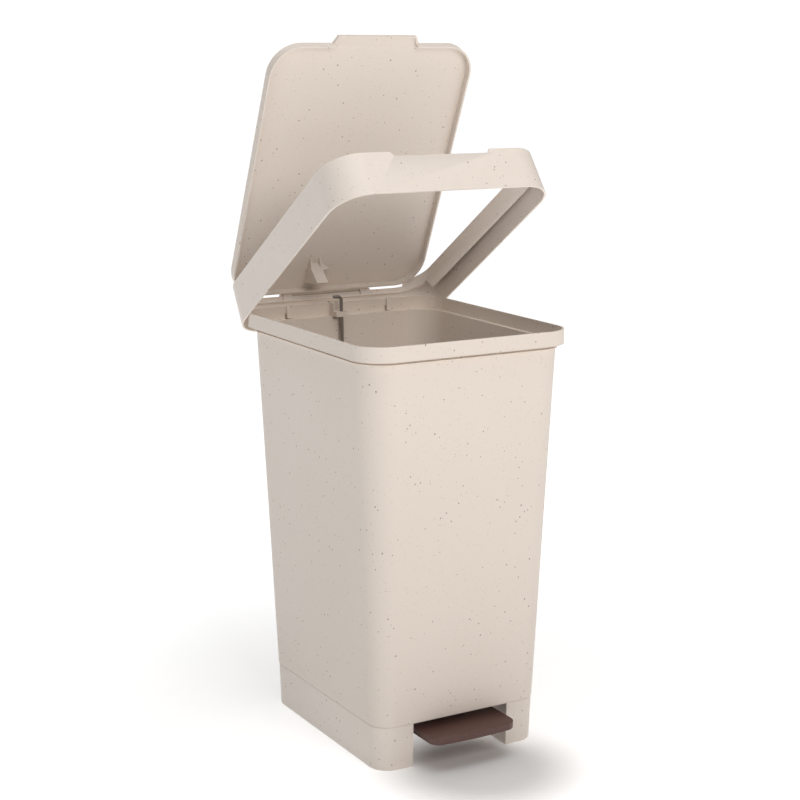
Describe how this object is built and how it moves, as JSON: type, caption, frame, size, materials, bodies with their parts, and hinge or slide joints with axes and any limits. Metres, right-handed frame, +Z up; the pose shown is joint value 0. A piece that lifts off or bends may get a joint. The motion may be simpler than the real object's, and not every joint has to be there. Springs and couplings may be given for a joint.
{
  "type": "pedal trash can",
  "caption": "Tapered plastic trash can with a foot pedal at the front of its base, a hinged ring that holds the bag, and a hinged lid that a lift rod opens.",
  "frame": {"origin": "on the floor, under the middle of the bin's foot print", "axes": "+Z up, front (pedal side) towards -Y, right-hand side seen from the front towards +X"},
  "size_m": [0.2668, 0.3551, 0.7806],
  "materials": {
    "speckled_plastic": "warm off-white moulded plastic with fine dark flecks",
    "brown_plastic": "dark brown, fine matt texture",
    "grey_plastic": "plain grey moulding",
    "steel": "drawn steel wire and pins",
    "soft_rubber": "soft black"
  },
  "bodies": {
    "bin": {"bin_body": "speckled_plastic", "base_plinth": "speckled_plastic", "base_screws": "steel", "hinge_bracket_left": "speckled_plastic", "hinge_bracket_right": "speckled_plastic", "rod_guide_clip": "speckled_plastic", "rod_floor_bush": "grey_plastic", "lever_bumper": "soft_rubber", "pedal_axle": "steel", "axle_clips": "steel", "ring_hinge_pin_left": "steel", "ring_hinge_pin_right": "steel", "foot_front_left": "soft_rubber", "foot_front_right": "soft_rubber", "foot_back_left": "soft_rubber", "foot_back_right": "soft_rubber"},
    "ring": {"bag_ring": "speckled_plastic", "lid_pad_left": "soft_rubber", "lid_pad_right": "soft_rubber"},
    "lid_pins": {"lid_hinge_pin_left": "steel", "lid_hinge_pin_right": "steel"},
    "lid": {"lid_panel": "speckled_plastic", "lid_striker": "speckled_plastic"},
    "pedal": {"pedal_lever": "grey_plastic", "pedal_pad": "brown_plastic"},
    "rod": {"lift_rod": "steel", "rod_bead": "grey_plastic", "rod_nut": "steel"}
  },
  "joints": [
    {"name": "ring_hinge", "type": "hinge", "parent": "bin", "child": "ring", "pos_m": [0, 0.161, 0.4548], "axis": [-1, 0, 0], "range_deg": [-34, 51]},
    {"name": "lid_pin_turn", "type": "hinge", "parent": "ring", "child": "lid_pins", "pos_m": [0, 0.18829, 0.48006], "axis": [-1, 0, 0], "range_deg": [0, 55.9]},
    {"name": "lid_hinge", "type": "hinge", "parent": "lid_pins", "child": "lid", "pos_m": [0, 0.18829, 0.48006], "axis": [-1, 0, 0], "range_deg": [-32.45, 22]},
    {"name": "pedal_hinge", "type": "hinge", "parent": "bin", "child": "pedal", "pos_m": [0, -0.02, 0.024], "axis": [1, 0, 0], "range_deg": [0, 11.31]},
    {"name": "rod_slide", "type": "slide", "parent": "bin", "child": "rod", "axis": [0, 0.0533, 0.9986], "range_m": [0, 0.02735]}
  ],
  "couplings": [
    {"joint": "pedal_hinge", "follows": "lid_pin_turn", "ratio": 0.20215},
    {"joint": "rod_slide", "follows": "lid_pin_turn", "m_per_rad": 0.027982}
  ]
}
